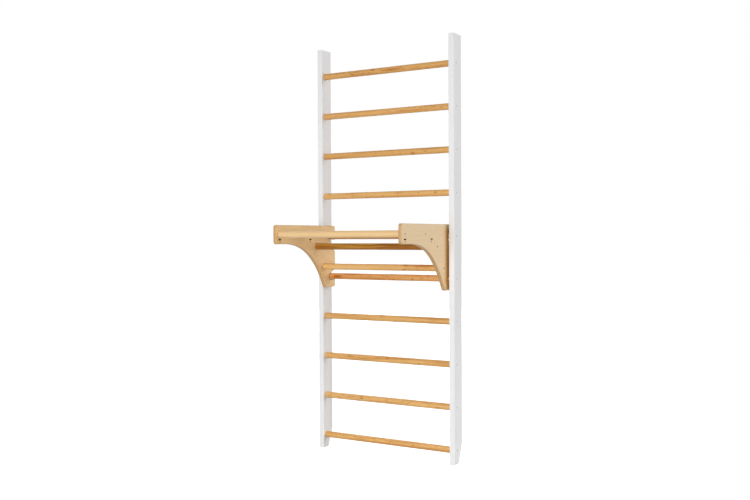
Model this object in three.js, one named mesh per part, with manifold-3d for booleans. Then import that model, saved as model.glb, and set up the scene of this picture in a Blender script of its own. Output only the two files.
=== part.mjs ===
// Wall bars with a hook-on bar unit: two lacquered uprights carry round rungs, and a unit of two curved
// side plates and four grip bars hangs on two neighbouring rungs.
// Millimetres. X runs along the rungs, +Y points at the wall and +Z is up.
// The origin is on the wall plane, at floor level, midway between the uprights.
import * as THREE from "three";
import { mergeVertices } from "three/addons/utils/BufferGeometryUtils.js";
import Module from "manifold-3d";

const wasm = await Module();
wasm.setup();

// Ladder
const RUNG_COUNT = 10;
const RUNG_PITCH = 220;
const RUNG_DIAMETER = 34;
const RUNG_SETBACK = 32; // rung axis behind the uprights' front faces
const FIRST_RUNG_HEIGHT = 70; // axis of the lowest rung above the floor
const TOP_MARGIN = 146; // uprights' top above the axis of the highest rung
const CLEAR_WIDTH = 772; // between the uprights' inner faces
const UPRIGHT_THICKNESS = 30;
const UPRIGHT_DEPTH = 90;
const UPRIGHT_EDGE_RADIUS = 4; // along the four long edges
const UPRIGHT_END_EASE = 1; // the ends are sawn square, with their edges just broken
const SKIRTING_CUT_HEIGHT = 107; // chamfer at the rear bottom corner that clears a skirting board
const SKIRTING_CUT_DEPTH = 43;
const RUNG_SOCKET_DEPTH = 22;

// Bar unit, measured from the axis of the rung that it hooks onto
const HOOK_RUNG = 5; // counted from the top
const PLATE_THICKNESS = 21;
const PLATE_EDGE_RADIUS = 4;
const PLATE_SIDE_GAP = 12; // plate to upright
const ARM_REACH = 499;
const ARM_RISE = 58;
const ARM_DROP = 40;
const ARM_CORNER_RADIUS = 14;
const REAR_REACH = 42;
const HOOK_ANGLE = 54; // degrees, the hook slot runs down and to the rear
const HOOK_TIP_RADIUS = 4.5;
const MOUTH_CORNER_RADIUS = 14;
const NOTCH_FLARE = 22.5; // degrees, the notch's upper side rises to the rear
const NOTCH_CORNER_RADIUS = 6;
const FOOT_DROP = 60; // foot below the axis of the lower rung
const FOOT_FRONT = 51; // foot's front corner ahead of the rung axis
const FOOT_CORNER_RADIUS = 12;
const SWEEP_START = 79; // straight underside of the arm, from its front edge
const SWEEP_ARM_PULL = 190; // how far the curve holds on to the arm's direction
const SWEEP_FOOT_PULL = 165; // how far it holds on to the foot's direction
const SWEEP_FOOT_ANGLE = 60.5; // degrees below level, where the curve meets the foot
const PLATE_SOCKET_DEPTH = 9;

// Grip bars of the unit
const BAR_DIAMETER = 34;
const FRONT_BAR_INSET = 29; // axis behind the arm's front edge
const FRONT_BAR_RISE = 9; // axis above the hook rung
const MIDDLE_BAR_SPACING = 208; // behind the front bar, on the same level
const REAR_UPPER_BAR_FORWARD = 136; // ahead of the hook rung
const REAR_UPPER_BAR_DROP = 55; // below the hook rung
const REAR_LOWER_BAR_FORWARD = 62;
const REAR_LOWER_BAR_RISE = 55; // above the lower rung

// Slots in the side plates, each with a small hole below it
const SLOT_LENGTH = 21;
const SLOT_HEIGHT = 5.5;
const SLOT_DROP = 26; // below the front bar's axis
const SLOT_SPACING = 271; // from the slot under the front bar to the rear one
const SLOT_HOLE_DIAMETER = 5;
const SLOT_HOLE_DROP = 12; // below the slot

// Countersunk wood screws, one into each end of every rung and bar
const RUNG_SCREW = { head: 9, shank: 4.5, length: 45, recess: 4.4 };
const BAR_SCREW = { head: 10, shank: 5, length: 50, recess: 5 };
const SCREW_TIP = 6;
const RECESS_WIDTH = 1.2;
const RECESS_DEPTH = 1.2;
const HEAD_SINK = 0.4; // head below the wood's surface

// Fits
const SOCKET_CLEARANCE = 0.3;
const SCREW_CLEARANCE = 0.3;
const SEAT_CLEARANCE = 0.4; // hook and notch round their rungs
const PILOT_EXTRA = 3; // pilot hole past the screw's tip

// Facets
const ROUND_SIDES = 24;
const SCREW_SIDES = 8;
const ARC_STEP = 15; // degrees
const HOLE_STEP = 30; // degrees, for the small holes
const SWEEP_STEPS = 20;
const EDGE_STEPS = 2;
const MERGE_TOLERANCE = 1e-4;
const OVERCUT = 2; // how far cutters stand out of the faces they cut

const lacquer = new THREE.MeshStandardMaterial({ color: 0xe9e8e6, roughness: 0.45, metalness: 0 });
const pine = new THREE.MeshStandardMaterial({ color: 0xdca56a, roughness: 0.5, metalness: 0 });
const beech = new THREE.MeshStandardMaterial({ color: 0xe6bd86, roughness: 0.5, metalness: 0 });
const plywood = new THREE.MeshStandardMaterial({ color: 0xd9b583, roughness: 0.5, metalness: 0 });
const zinc = new THREE.MeshStandardMaterial({ color: 0xb9bbbf, roughness: 0.35, metalness: 0.9 });

const rungY = RUNG_SETBACK - UPRIGHT_DEPTH;
const rungZ = (number) => FIRST_RUNG_HEIGHT + (RUNG_COUNT - number) * RUNG_PITCH;
const uprightHeight = rungZ(1) + TOP_MARGIN;
const uprightX = (CLEAR_WIDTH + UPRIGHT_THICKNESS) / 2;
const plateX = (CLEAR_WIDTH - PLATE_THICKNESS) / 2 - PLATE_SIDE_GAP;
const plateGap = 2 * plateX - PLATE_THICKNESS;
const radians = THREE.MathUtils.degToRad;
const pad = (number) => String(number).padStart(2, "0");
const sides = { left: -1, right: 1 };

// Closed solid from a geometry: shared vertices merged, triangles that collapse in the merge left out
function toSolid(geometry) {
  const bare = geometry.clone();
  bare.deleteAttribute("normal");
  bare.deleteAttribute("uv");
  const merged = mergeVertices(bare, MERGE_TOLERANCE);
  const corners = merged.index.array;
  const triangles = [];
  for (let i = 0; i < corners.length; i += 3) {
    const [a, b, c] = corners.slice(i, i + 3);
    if (a !== b && b !== c && c !== a) triangles.push(a, b, c);
  }
  const mesh = new wasm.Mesh({
    numProp: 3,
    vertProperties: Float32Array.from(merged.attributes.position.array),
    triVerts: Uint32Array.from(triangles),
  });
  return new wasm.Manifold(mesh);
}

function toGeometry(solid) {
  const { vertProperties, triVerts } = solid.getMesh();
  const geometry = new THREE.BufferGeometry();
  geometry.setAttribute("position", new THREE.BufferAttribute(vertProperties, 3));
  geometry.setIndex(new THREE.BufferAttribute(triVerts, 1));
  geometry.computeVertexNormals();
  return geometry;
}

function cut(body, cutters) {
  return cutters.reduce((solid, cutter) => solid.subtract(toSolid(cutter)), body);
}

// Revolved profile of [radius, height] pairs, with its height laid along X towards the given side
function revolve(profile, segments, side) {
  const points = profile.map(([radius, height]) => new THREE.Vector2(radius, height));
  return new THREE.LatheGeometry(points, segments).rotateZ(-side * Math.PI / 2);
}

// Points of an arc between two angles in degrees, either way round
function arc([y, z], radius, from, to, step = ARC_STEP) {
  const steps = Math.ceil(Math.abs(to - from) / step);
  return Array.from({ length: steps + 1 }, (_, i) => {
    const angle = radians(from + (to - from) * i / steps);
    return new THREE.Vector2(y + radius * Math.cos(angle), z + radius * Math.sin(angle));
  });
}

// Rounded corner of an outline that turns left there; the angles are its directions in and out
function roundCorner([y, z], angleIn, angleOut, radius) {
  const inset = radius / Math.cos(radians(angleOut - angleIn) / 2);
  const middle = radians((angleIn + angleOut) / 2 + 90);
  const centre = [y + inset * Math.cos(middle), z + inset * Math.sin(middle)];
  return arc(centre, radius, angleIn - 90, angleOut - 90);
}

// Slab of a Y-Z outline, centred on X, with its edges rounded over
function slab(outline, thickness, edgeRadius) {
  const geometry = new THREE.ExtrudeGeometry(new THREE.Shape(outline), {
    depth: thickness - 2 * edgeRadius,
    bevelThickness: edgeRadius,
    bevelSize: edgeRadius,
    bevelOffset: -edgeRadius,
    bevelSegments: EDGE_STEPS,
  });
  geometry.translate(0, 0, edgeRadius - thickness / 2);
  return layAcross(geometry);
}

// Turns a geometry drawn in X-Y and extruded along Z so that it is drawn in Y-Z and extruded along X
function layAcross(geometry) {
  const [x, y, z] = [0, 1, 2].map((axis) => new THREE.Vector3().setComponent(axis, 1));
  return geometry.applyMatrix4(new THREE.Matrix4().makeBasis(y, z, x));
}

// Round bar along X with a pilot hole for a screw in each end
function roundBar(length, diameter, screw, grip) {
  const half = length / 2;
  const radius = diameter / 2;
  const pilot = screw.shank / 2 + SCREW_CLEARANCE;
  const bottom = half - (screw.length - grip) - PILOT_EXTRA;
  const mouth = half + OVERCUT;
  const bar = revolve([[0, -half], [radius, -half], [radius, half], [0, half]], ROUND_SIDES, 1);
  const hole = [[0, bottom], [pilot, bottom], [pilot, mouth], [0, mouth]];
  const pilots = Object.values(sides).map((side) => revolve(hole, SCREW_SIDES, side));
  return toGeometry(cut(toSolid(bar), pilots));
}

// Countersunk screw along X with its head at the origin, facing the given side
function screwBody({ head, shank, length, recess }, side) {
  const cone = (head - shank) / 2;
  const profile = [
    [0, -length], [shank / 2, SCREW_TIP - length], [shank / 2, -cone], [head / 2, 0], [0, 0],
  ];
  const arms = [[recess, RECESS_WIDTH], [RECESS_WIDTH, recess]];
  const cross = arms.map(([width, height]) => new THREE.BoxGeometry(2 * RECESS_DEPTH, width, height));
  return toGeometry(cut(toSolid(revolve(profile, SCREW_SIDES, side)), cross));
}

// Cutter for a screw's hole through a wall, with its mouth at the origin, facing the given side
function screwHole({ head, shank, length }, side) {
  const cone = (head - shank) / 2;
  const mouth = head / 2 + SCREW_CLEARANCE;
  const hole = shank / 2 + SCREW_CLEARANCE;
  return revolve([
    [0, -length], [hole, -length], [hole, -cone - HEAD_SINK], [mouth, -HEAD_SINK],
    [mouth, OVERCUT], [0, OVERCUT],
  ], SCREW_SIDES, side);
}

// Cutter for a blind socket in a wall's inner face, in the wall's own frame
function socket(diameter, depth, wall, side) {
  const radius = diameter / 2 + SOCKET_CLEARANCE;
  const start = wall / 2 - depth;
  const profile = [[0, start], [radius, start], [radius, wall / 2 + OVERCUT], [0, wall / 2 + OVERCUT]];
  return revolve(profile, ROUND_SIDES, -side);
}

// Square-sawn length of the uprights' section, which is rounded along its four edges
function uprightBlank() {
  const half = UPRIGHT_THICKNESS / 2;
  const corners = [[half, -UPRIGHT_DEPTH], [half, 0], [-half, 0], [-half, -UPRIGHT_DEPTH]];
  const section = corners.flatMap((corner, i) => (
    roundCorner(corner, 90 * i, 90 * (i + 1), UPRIGHT_EDGE_RADIUS)
  ));
  const geometry = new THREE.ExtrudeGeometry(new THREE.Shape(section), {
    depth: uprightHeight - 2 * UPRIGHT_END_EASE,
    bevelThickness: UPRIGHT_END_EASE,
    bevelSize: UPRIGHT_END_EASE,
    bevelOffset: -UPRIGHT_END_EASE,
    bevelSegments: 1,
  });
  return geometry.translate(0, 0, UPRIGHT_END_EASE);
}

// Cutter for the skirting: a wedge that takes the rear bottom corner off
function skirtingCutter() {
  const slope = SKIRTING_CUT_HEIGHT / SKIRTING_CUT_DEPTH;
  const wedge = new THREE.Shape([
    new THREE.Vector2(-SKIRTING_CUT_DEPTH - OVERCUT / slope, -OVERCUT),
    new THREE.Vector2(OVERCUT, -OVERCUT),
    new THREE.Vector2(OVERCUT, SKIRTING_CUT_HEIGHT + OVERCUT * slope),
  ]);
  const depth = UPRIGHT_THICKNESS + 2 * OVERCUT;
  const geometry = new THREE.ExtrudeGeometry(wedge, { depth, bevelEnabled: false });
  return layAcross(geometry.translate(0, 0, -depth / 2));
}

function uprightGeometry(side) {
  const cutters = [skirtingCutter()];
  for (let number = 1; number <= RUNG_COUNT; number += 1) {
    const seat = socket(RUNG_DIAMETER, RUNG_SOCKET_DEPTH, UPRIGHT_THICKNESS, side);
    const hole = screwHole(RUNG_SCREW, side).translate(side * UPRIGHT_THICKNESS / 2, 0, 0);
    cutters.push(seat.translate(0, rungY, rungZ(number)), hole.translate(0, rungY, rungZ(number)));
  }
  return toGeometry(cut(toSolid(uprightBlank()), cutters));
}

// Outline of a side plate: arm, swept curve and foot in front, notch and hook slot behind
function plateOutline() {
  const seat = RUNG_DIAMETER / 2 + SEAT_CLEARANCE;
  const floor = -RUNG_PITCH - FOOT_DROP;
  const flare = radians(NOTCH_FLARE);
  const hook = radians(HOOK_ANGLE);
  // where each slanted side of the notch and the hook slot would meet the rear edge
  const notchTop = -RUNG_PITCH + seat / Math.cos(flare) + REAR_REACH * Math.tan(flare);
  const mouthBottom = -seat / Math.cos(hook) - REAR_REACH * Math.tan(hook);
  const hookTip = seat / Math.cos(hook) - REAR_REACH * Math.tan(hook);
  return [
    ...roundCorner([-ARM_REACH, ARM_RISE], 180, 270, ARM_CORNER_RADIUS),
    ...roundCorner([-ARM_REACH, -ARM_DROP], -90, 0, ARM_CORNER_RADIUS),
    ...sweep(floor),
    ...roundCorner([-FOOT_FRONT, floor], -SWEEP_FOOT_ANGLE, 0, FOOT_CORNER_RADIUS),
    ...roundCorner([REAR_REACH, floor], 0, 90, FOOT_CORNER_RADIUS),
    ...roundCorner([REAR_REACH, -RUNG_PITCH - seat], 90, 180, NOTCH_CORNER_RADIUS),
    ...arc([0, -RUNG_PITCH], seat, 270, 90 + NOTCH_FLARE),
    ...roundCorner([REAR_REACH, notchTop], NOTCH_FLARE, 90, NOTCH_CORNER_RADIUS),
    ...roundCorner([REAR_REACH, mouthBottom], 90, 180 - HOOK_ANGLE, MOUTH_CORNER_RADIUS),
    ...arc([0, 0], seat, 270 - HOOK_ANGLE, 90 - HOOK_ANGLE),
    ...roundCorner([REAR_REACH, hookTip], -HOOK_ANGLE, 90, HOOK_TIP_RADIUS),
    ...roundCorner([REAR_REACH, ARM_RISE], 90, 180, ARM_CORNER_RADIUS),
  ];
}

// Curve from the arm's level underside down to where the foot's front corner starts
function sweep(floor) {
  const angle = radians(SWEEP_FOOT_ANGLE);
  const direction = new THREE.Vector2(Math.cos(angle), -Math.sin(angle));
  const start = new THREE.Vector2(SWEEP_START - ARM_REACH, -ARM_DROP);
  const corner = new THREE.Vector2(-FOOT_FRONT, floor);
  const end = corner.addScaledVector(direction, -FOOT_CORNER_RADIUS * Math.tan(angle / 2));
  const startPull = new THREE.Vector2(start.x + SWEEP_ARM_PULL, start.y);
  const endPull = end.clone().addScaledVector(direction, -SWEEP_FOOT_PULL);
  const curve = new THREE.CubicBezierCurve(start, startPull, endPull, end);
  return curve.getSpacedPoints(SWEEP_STEPS).slice(0, -1);
}

// Axis of each grip bar in the unit's frame
const bars = {
  front_bar: [FRONT_BAR_INSET - ARM_REACH, FRONT_BAR_RISE],
  middle_bar: [FRONT_BAR_INSET + MIDDLE_BAR_SPACING - ARM_REACH, FRONT_BAR_RISE],
  rear_upper_bar: [-REAR_UPPER_BAR_FORWARD, -REAR_UPPER_BAR_DROP],
  rear_lower_bar: [-REAR_LOWER_BAR_FORWARD, REAR_LOWER_BAR_RISE - RUNG_PITCH],
};

// Cutters for a slot with round ends and the small hole below it, through a side plate
function slotCutters(y, z) {
  const depth = PLATE_THICKNESS + 2 * OVERCUT;
  const radius = SLOT_HEIGHT / 2;
  const reach = SLOT_LENGTH / 2 - radius;
  const slot = [
    ...arc([y + reach, z], radius, -90, 90, HOLE_STEP),
    ...arc([y - reach, z], radius, 90, 270, HOLE_STEP),
  ];
  const hole = arc([y, z - SLOT_HOLE_DROP], SLOT_HOLE_DIAMETER / 2, 0, 360 - HOLE_STEP, HOLE_STEP);
  return [slot, hole].map((outline) => {
    const geometry = new THREE.ExtrudeGeometry(new THREE.Shape(outline), { depth, bevelEnabled: false });
    return layAcross(geometry.translate(0, 0, -depth / 2));
  });
}

function plateGeometry(side) {
  const cutters = [];
  for (const [y, z] of Object.values(bars)) {
    const seat = socket(BAR_DIAMETER, PLATE_SOCKET_DEPTH, PLATE_THICKNESS, side);
    const hole = screwHole(BAR_SCREW, side).translate(side * PLATE_THICKNESS / 2, 0, 0);
    cutters.push(seat.translate(0, y, z), hole.translate(0, y, z));
  }
  const [slotY, slotZ] = [bars.front_bar[0], bars.front_bar[1] - SLOT_DROP];
  cutters.push(...slotCutters(slotY, slotZ), ...slotCutters(slotY + SLOT_SPACING, slotZ));
  return toGeometry(cut(toSolid(slab(plateOutline(), PLATE_THICKNESS, PLATE_EDGE_RADIUS)), cutters));
}

function place(parent, name, geometry, material, x, y, z) {
  const mesh = new THREE.Mesh(geometry, material);
  mesh.name = name;
  mesh.position.set(x, y, z);
  parent.add(mesh);
}

function ladder() {
  const group = new THREE.Group();
  const grip = UPRIGHT_THICKNESS - RUNG_SOCKET_DEPTH + SOCKET_CLEARANCE - HEAD_SINK;
  const length = CLEAR_WIDTH + 2 * (RUNG_SOCKET_DEPTH - SOCKET_CLEARANCE);
  const rung = roundBar(length, RUNG_DIAMETER, RUNG_SCREW, grip);
  for (const [sideName, side] of Object.entries(sides)) {
    place(group, `upright_${sideName}`, uprightGeometry(side), lacquer, side * uprightX, 0, 0);
    const screw = screwBody(RUNG_SCREW, side);
    const headX = side * (uprightX + UPRIGHT_THICKNESS / 2 - HEAD_SINK);
    for (let number = 1; number <= RUNG_COUNT; number += 1) {
      place(group, `rung_screw_${sideName}_${pad(number)}`, screw, zinc, headX, rungY, rungZ(number));
    }
  }
  for (let number = 1; number <= RUNG_COUNT; number += 1) {
    place(group, `rung_${pad(number)}`, rung, pine, 0, rungY, rungZ(number));
  }
  return group;
}

function barUnit() {
  const group = new THREE.Group();
  const grip = PLATE_THICKNESS - PLATE_SOCKET_DEPTH + SOCKET_CLEARANCE - HEAD_SINK;
  const length = plateGap + 2 * (PLATE_SOCKET_DEPTH - SOCKET_CLEARANCE);
  const bar = roundBar(length, BAR_DIAMETER, BAR_SCREW, grip);
  for (const [sideName, side] of Object.entries(sides)) {
    place(group, `side_plate_${sideName}`, plateGeometry(side), plywood, side * plateX, 0, 0);
    const screw = screwBody(BAR_SCREW, side);
    const headX = side * (plateX + PLATE_THICKNESS / 2 - HEAD_SINK);
    for (const [name, [y, z]] of Object.entries(bars)) {
      place(group, `${name}_screw_${sideName}`, screw, zinc, headX, y, z);
    }
  }
  for (const [name, [y, z]] of Object.entries(bars)) place(group, name, bar, beech, 0, y, z);
  group.position.set(0, rungY, rungZ(HOOK_RUNG));
  return group;
}

const wallBars = new THREE.Group();
wallBars.add(ladder(), barUnit());

export default wallBars;
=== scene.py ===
import math

import bpy
import numpy as np
from mathutils import Matrix, Vector
from mathutils.geometry import delaunay_2d_cdt


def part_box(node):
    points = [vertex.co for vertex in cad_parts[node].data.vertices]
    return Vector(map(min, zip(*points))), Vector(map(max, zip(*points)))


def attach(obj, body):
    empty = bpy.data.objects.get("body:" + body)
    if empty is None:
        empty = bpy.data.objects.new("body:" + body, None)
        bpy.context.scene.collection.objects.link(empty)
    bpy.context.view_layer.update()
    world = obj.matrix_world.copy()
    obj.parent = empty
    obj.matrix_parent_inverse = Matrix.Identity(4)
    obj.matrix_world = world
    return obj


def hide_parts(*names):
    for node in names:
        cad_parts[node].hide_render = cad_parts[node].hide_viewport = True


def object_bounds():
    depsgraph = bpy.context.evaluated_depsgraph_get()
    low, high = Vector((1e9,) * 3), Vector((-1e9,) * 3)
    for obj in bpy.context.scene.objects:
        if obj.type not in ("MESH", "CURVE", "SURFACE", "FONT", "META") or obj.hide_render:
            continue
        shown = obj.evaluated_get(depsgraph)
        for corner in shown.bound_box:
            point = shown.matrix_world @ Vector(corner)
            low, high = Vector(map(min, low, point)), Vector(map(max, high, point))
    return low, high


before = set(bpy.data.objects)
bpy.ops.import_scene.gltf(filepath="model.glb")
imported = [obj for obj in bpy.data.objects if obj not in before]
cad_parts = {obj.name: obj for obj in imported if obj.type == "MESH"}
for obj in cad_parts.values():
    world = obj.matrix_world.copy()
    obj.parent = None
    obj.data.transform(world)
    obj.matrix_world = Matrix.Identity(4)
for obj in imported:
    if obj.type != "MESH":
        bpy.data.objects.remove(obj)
cadLow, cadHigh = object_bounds()
sides = {"left": -1, "right": 1}
sharpAngle = math.radians(35)  # edges that turn more than this stay crisp
print("frame loaded:", len(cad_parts), "nodes")


# Outlines in Y-Z, counter-clockwise seen from +X

# Arc: centre plus radius times (cos a, sin a), with a running from one angle to the other in degrees
def arcPoints(centre, radius, fromAngle, toAngle, step=5.0):
    count = max(2, math.ceil(abs(toAngle - fromAngle) / step))
    angle = np.radians(np.linspace(fromAngle, toAngle, count + 1))
    return np.column_stack((centre[0] + radius * np.cos(angle), centre[1] + radius * np.sin(angle)))


# Rounded corner that turns left: the arc that touches the directions in and out
def cornerArc(point, angleIn, angleOut, radius):
    inset = radius / math.cos(math.radians(angleOut - angleIn) / 2)
    middle = math.radians((angleIn + angleOut) / 2 + 90)
    centre = (point[0] + inset * math.cos(middle), point[1] + inset * math.sin(middle))
    return arcPoints(centre, radius, angleIn - 90, angleOut - 90)


# Cubic curve: four control points weighted by (1-t)^3, 3t(1-t)^2, 3t^2(1-t) and t^3.
# Its last point is left out.
def cubicCurve(start, startPull, endPull, end, count):
    t = np.linspace(0, 1, count + 1)[:-1, None]
    weights = np.hstack(((1 - t) ** 3, 3 * t * (1 - t) ** 2, 3 * t ** 2 * (1 - t), t ** 3))
    return weights @ np.array((start, startPull, endPull, end), float)


# Outline moved inwards: each point goes along the mitre of its two edges, (n1 + n2) / (1 + n1.n2)
def insetOutline(outline, distance):
    edges = np.roll(outline, -1, axis=0) - outline
    edges /= np.linalg.norm(edges, axis=1, keepdims=True)
    after = np.column_stack((-edges[:, 1], edges[:, 0]))
    before = np.roll(after, 1, axis=0)
    mitre = (before + after) / (1 + np.sum(before * after, axis=1, keepdims=True))
    return outline + distance * mitre


def loopAt(outline, x):
    return np.column_stack((np.full(len(outline), x), outline))


# Faces of a grid whose columns close on themselves. They face out for counter-clockwise rows
# that run to +X.
def ringQuads(rows, columns, start):
    row = np.arange(rows - 1)[:, None] * columns + start
    column = np.arange(columns)[None, :]
    following = (column + 1) % columns
    corners = (row + column, row + following, row + columns + following, row + columns + column)
    return np.stack(corners, axis=-1).reshape(-1, 4)


# Which places lie inside a loop: a level ray from each crosses the loop's edges an odd number of times
def insideLoop(places, loop):
    start, end = loop, np.roll(loop, -1, axis=0)
    y, z = places[:, :1], places[:, 1:]
    spans = (start[:, 1] > z) != (end[:, 1] > z)
    rise = np.where(end[:, 1] == start[:, 1], 1, end[:, 1] - start[:, 1])
    crossing = start[:, 0] + (z - start[:, 1]) * (end[:, 0] - start[:, 0]) / rise
    return np.sum(spans & (y < crossing), axis=1) % 2 == 1


# Flat cap in Y-Z inside the first loop and outside the others, as constrained triangles
# that face +X or -X
def capTriangles(points, loops, facing, insideOnly=1, mergeDistance=1e-7):
    index = np.concatenate(loops)
    flat = points[index, 1:]
    starts = np.cumsum([0] + [len(loop) for loop in loops[:-1]])
    edges = [np.column_stack((np.arange(n), (np.arange(n) + 1) % n)) + s
             for s, n in zip(starts, map(len, loops))]
    corners = list(map(Vector, flat.tolist()))
    made = delaunay_2d_cdt(corners, np.concatenate(edges).tolist(), [], insideOnly, mergeDistance)
    source = np.array([origin[0] for origin in made[3]])
    triangles = source[np.array(made[2])]
    middles = flat[triangles].mean(axis=1)
    inside = insideLoop(middles, points[loops[0], 1:])
    for hole in loops[1:]:
        inside &= ~insideLoop(middles, points[hole, 1:])
    triangles = triangles[inside]
    a, b, c = (flat[triangles[:, k]] for k in range(3))
    area = (b[:, 0] - a[:, 0]) * (c[:, 1] - a[:, 1]) - (b[:, 1] - a[:, 1]) * (c[:, 0] - a[:, 0])
    wrong = area * facing < 0
    triangles[wrong] = triangles[wrong][:, ::-1]
    return index[triangles]


# Slab of an outline between two X planes. Its rim is a grid: the outline moved in by r(1 - sin t)
# at depth r(1 - cos t) for t from 0 to 90 degrees at each face, and a narrow flat ring inside that.
# Each hole is a grid of loops from face to face.
def slabSurface(outline, lowX, highX, edgeRadius, holes, rimSteps, flatRing=0.0003):
    turn = np.linspace(0, np.pi / 2, rimSteps + 1)
    inset = edgeRadius * (1 - np.sin(turn))
    depth = edgeRadius * (1 - np.cos(turn))
    insets = np.concatenate(([edgeRadius + flatRing], inset, inset[::-1], [edgeRadius + flatRing]))
    across = np.concatenate(([lowX], lowX + depth, highX - depth[::-1], [highX]))
    rim = np.stack([loopAt(insetOutline(outline, i), x) for i, x in zip(insets, across)])
    grids = [rim] + holes
    points = np.concatenate([grid.reshape(-1, 3) for grid in grids])
    starts = np.cumsum([0] + [grid.shape[0] * grid.shape[1] for grid in grids])[:-1]
    faces, lowLoops, highLoops = [], [], []
    for grid, start in zip(grids, starts):
        rows, columns = grid.shape[:2]
        quads = ringQuads(rows, columns, start)
        faces += (quads if grid is rim else quads[:, ::-1]).tolist()
        lowLoops.append(start + np.arange(columns))
        highLoops.append(start + (rows - 1) * columns + np.arange(columns))
    faces += capTriangles(points, lowLoops, -1).tolist() + capTriangles(points, highLoops, 1).tolist()
    return points, faces


# Loops carried along X with a pole at each end: rows of points, closed by a fan to each pole
def loopSurface(rows, lowPole, highPole):
    count, columns = rows.shape[:2]
    points = np.concatenate((rows.reshape(-1, 3), [lowPole, highPole]))
    column = np.arange(columns)
    following = (column + 1) % columns
    last = (count - 1) * columns
    lowFan = np.column_stack((np.full(columns, count * columns), following, column))
    highFan = np.column_stack((np.full(columns, count * columns + 1), last + column, last + following))
    return points, ringQuads(count, columns, 0).tolist() + lowFan.tolist() + highFan.tolist()


# Turned piece along X: (x, radius) pairs carried once round an axis, from a pole to a pole
def turnedSurface(profile, axis, segments=72):
    angle = np.linspace(0, 2 * np.pi, segments, endpoint=False)
    x, radius = np.array(profile)[1:-1].T
    rows = np.stack(np.broadcast_arrays(
        x[:, None],
        axis[0] + radius[:, None] * np.cos(angle),
        axis[1] + radius[:, None] * np.sin(angle)), axis=-1)
    return loopSurface(rows, (profile[0][0], *axis), (profile[-1][0], *axis))


# Fields that the timber materials read at each point: vectors first, then single values
def addFields(mesh, vectors, values):
    for name, field in vectors.items():
        made = mesh.attributes.new(name, "FLOAT_VECTOR", "POINT")
        filled = np.broadcast_to(field, (len(mesh.vertices), 3)).astype(np.float32)
        made.data.foreach_set("vector", filled.ravel())
    for name, field in values.items():
        made = mesh.attributes.new(name, "FLOAT", "POINT")
        made.data.foreach_set("value", np.broadcast_to(field, len(mesh.vertices)).astype(np.float32))


# Piece that stands for one CAD node: mesh, shading, timber fields, material and body; its slot is not
# used
def addPiece(node, surface, material, body, slot, vectors=None, values=None):
    points, faces = surface
    mesh = bpy.data.meshes.new(node + "_visual")
    mesh.from_pydata(points.tolist(), [], faces)
    mesh.shade_smooth()
    mesh.set_sharp_from_angle(angle=sharpAngle)
    addFields(mesh, vectors or {}, values or {})
    mesh.materials.append(material)
    piece = bpy.data.objects.new(node + "_visual", mesh)
    bpy.context.scene.collection.objects.link(piece)
    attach(piece, body)
    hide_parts(node)


# Shader helpers

# New node: attributes by keyword, sockets by name or number, where a socket value makes a link
def addNode(tree, kind, sockets=None, **attributes):
    node = tree.nodes.new(kind)
    for name, value in attributes.items():
        setattr(node, name, value)
    for key, value in (sockets or {}).items():
        if isinstance(value, bpy.types.NodeSocket):
            tree.links.new(value, node.inputs[key])
        else:
            node.inputs[key].default_value = value
    return node


def calc(tree, operation, first, second=0.0, third=0.0):
    sockets = {0: first, 1: second, 2: third}
    return addNode(tree, "ShaderNodeMath", sockets, operation=operation).outputs[0]


def vectorCalc(tree, operation, first, second=(0, 0, 0)):
    return addNode(tree, "ShaderNodeVectorMath", {0: first, 1: second}, operation=operation).outputs


def blendColour(tree, factor, first, second, mode="MIX"):
    sockets = {0: factor, 6: first, 7: second}
    node = addNode(tree, "ShaderNodeMix", sockets, data_type="RGBA", blend_type=mode)
    return node.outputs[2]


# Value remapped with a soft step between two limits
def softStep(tree, value, fromLow, fromHigh, toLow=0.0, toHigh=1.0):
    sockets = {0: value, 1: fromLow, 2: fromHigh, 3: toLow, 4: toHigh}
    return addNode(tree, "ShaderNodeMapRange", sockets, interpolation_type="SMOOTHSTEP").outputs[0]


# Noise on coordinates that are scaled by their own factor along each axis
def stretchedNoise(tree, vector, scale, detail=2.0, roughness=0.5):
    scaled = vectorCalc(tree, "MULTIPLY", vector, scale)[0]
    sockets = {"Vector": scaled, "Scale": 1.0, "Detail": detail, "Roughness": roughness}
    return addNode(tree, "ShaderNodeTexNoise", sockets).outputs[0]


def newMaterial(name):
    material = bpy.data.materials.new(name)
    material.use_nodes = True
    tree = material.node_tree
    return material, tree, tree.nodes["Principled BSDF"]


def addBump(tree, shader, height, strength, distance):
    sockets = {"Height": height, "Strength": strength, "Distance": distance}
    bump = addNode(tree, "ShaderNodeBump", sockets)
    tree.links.new(bump.outputs[0], shader.inputs["Normal"])


# Timber: noises in cycles per metre along and across the fibres, half lengths of the marks in metres,
# the limits between which each mark fades, and how much each one bends, shades or roughens
timber = dict(
    slowNoise=(2.4, 20, 20), broadNoise=(0.8, 7, 7), fibreNoise=(9, 620, 620), patchNoise=(3.2, 55, 55),
    fleckNoise=(55, 900, 900), knotNoise=(20, 64, 64), dashNoise=(38, 190, 190),
    knotHalf=(0.015, 0.006, 0.006), knotRagged=-0.9, stainHalf=(0.075, 0.008, 0.008), stainRagged=-0.8,
    coreFade=(0.1, 0.8), haloFade=(0.2, 2.6), stainFade=(0.0, 0.9), streakFade=(0.44, 0.7),
    fleckFade=(0.66, 0.74), dashFade=(0.6, 0.72), dashArea=(0.42, 0.6), smallFade=(0.68, 0.78),
    broadBend=1.6, knotBend=0.006, lateRise=2.2, lateEnd=0.88, deepRing=0.4, haloShade=0.6,
    knotShade=0.8, burnt=(0.62, 0.48, 0.36, 1), fibreHeight=0.6, fibreRough=0.22, markRough=0.12,
    plainRough=0.3, specular=0.25, bump=(0.25, 0.0003))


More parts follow.
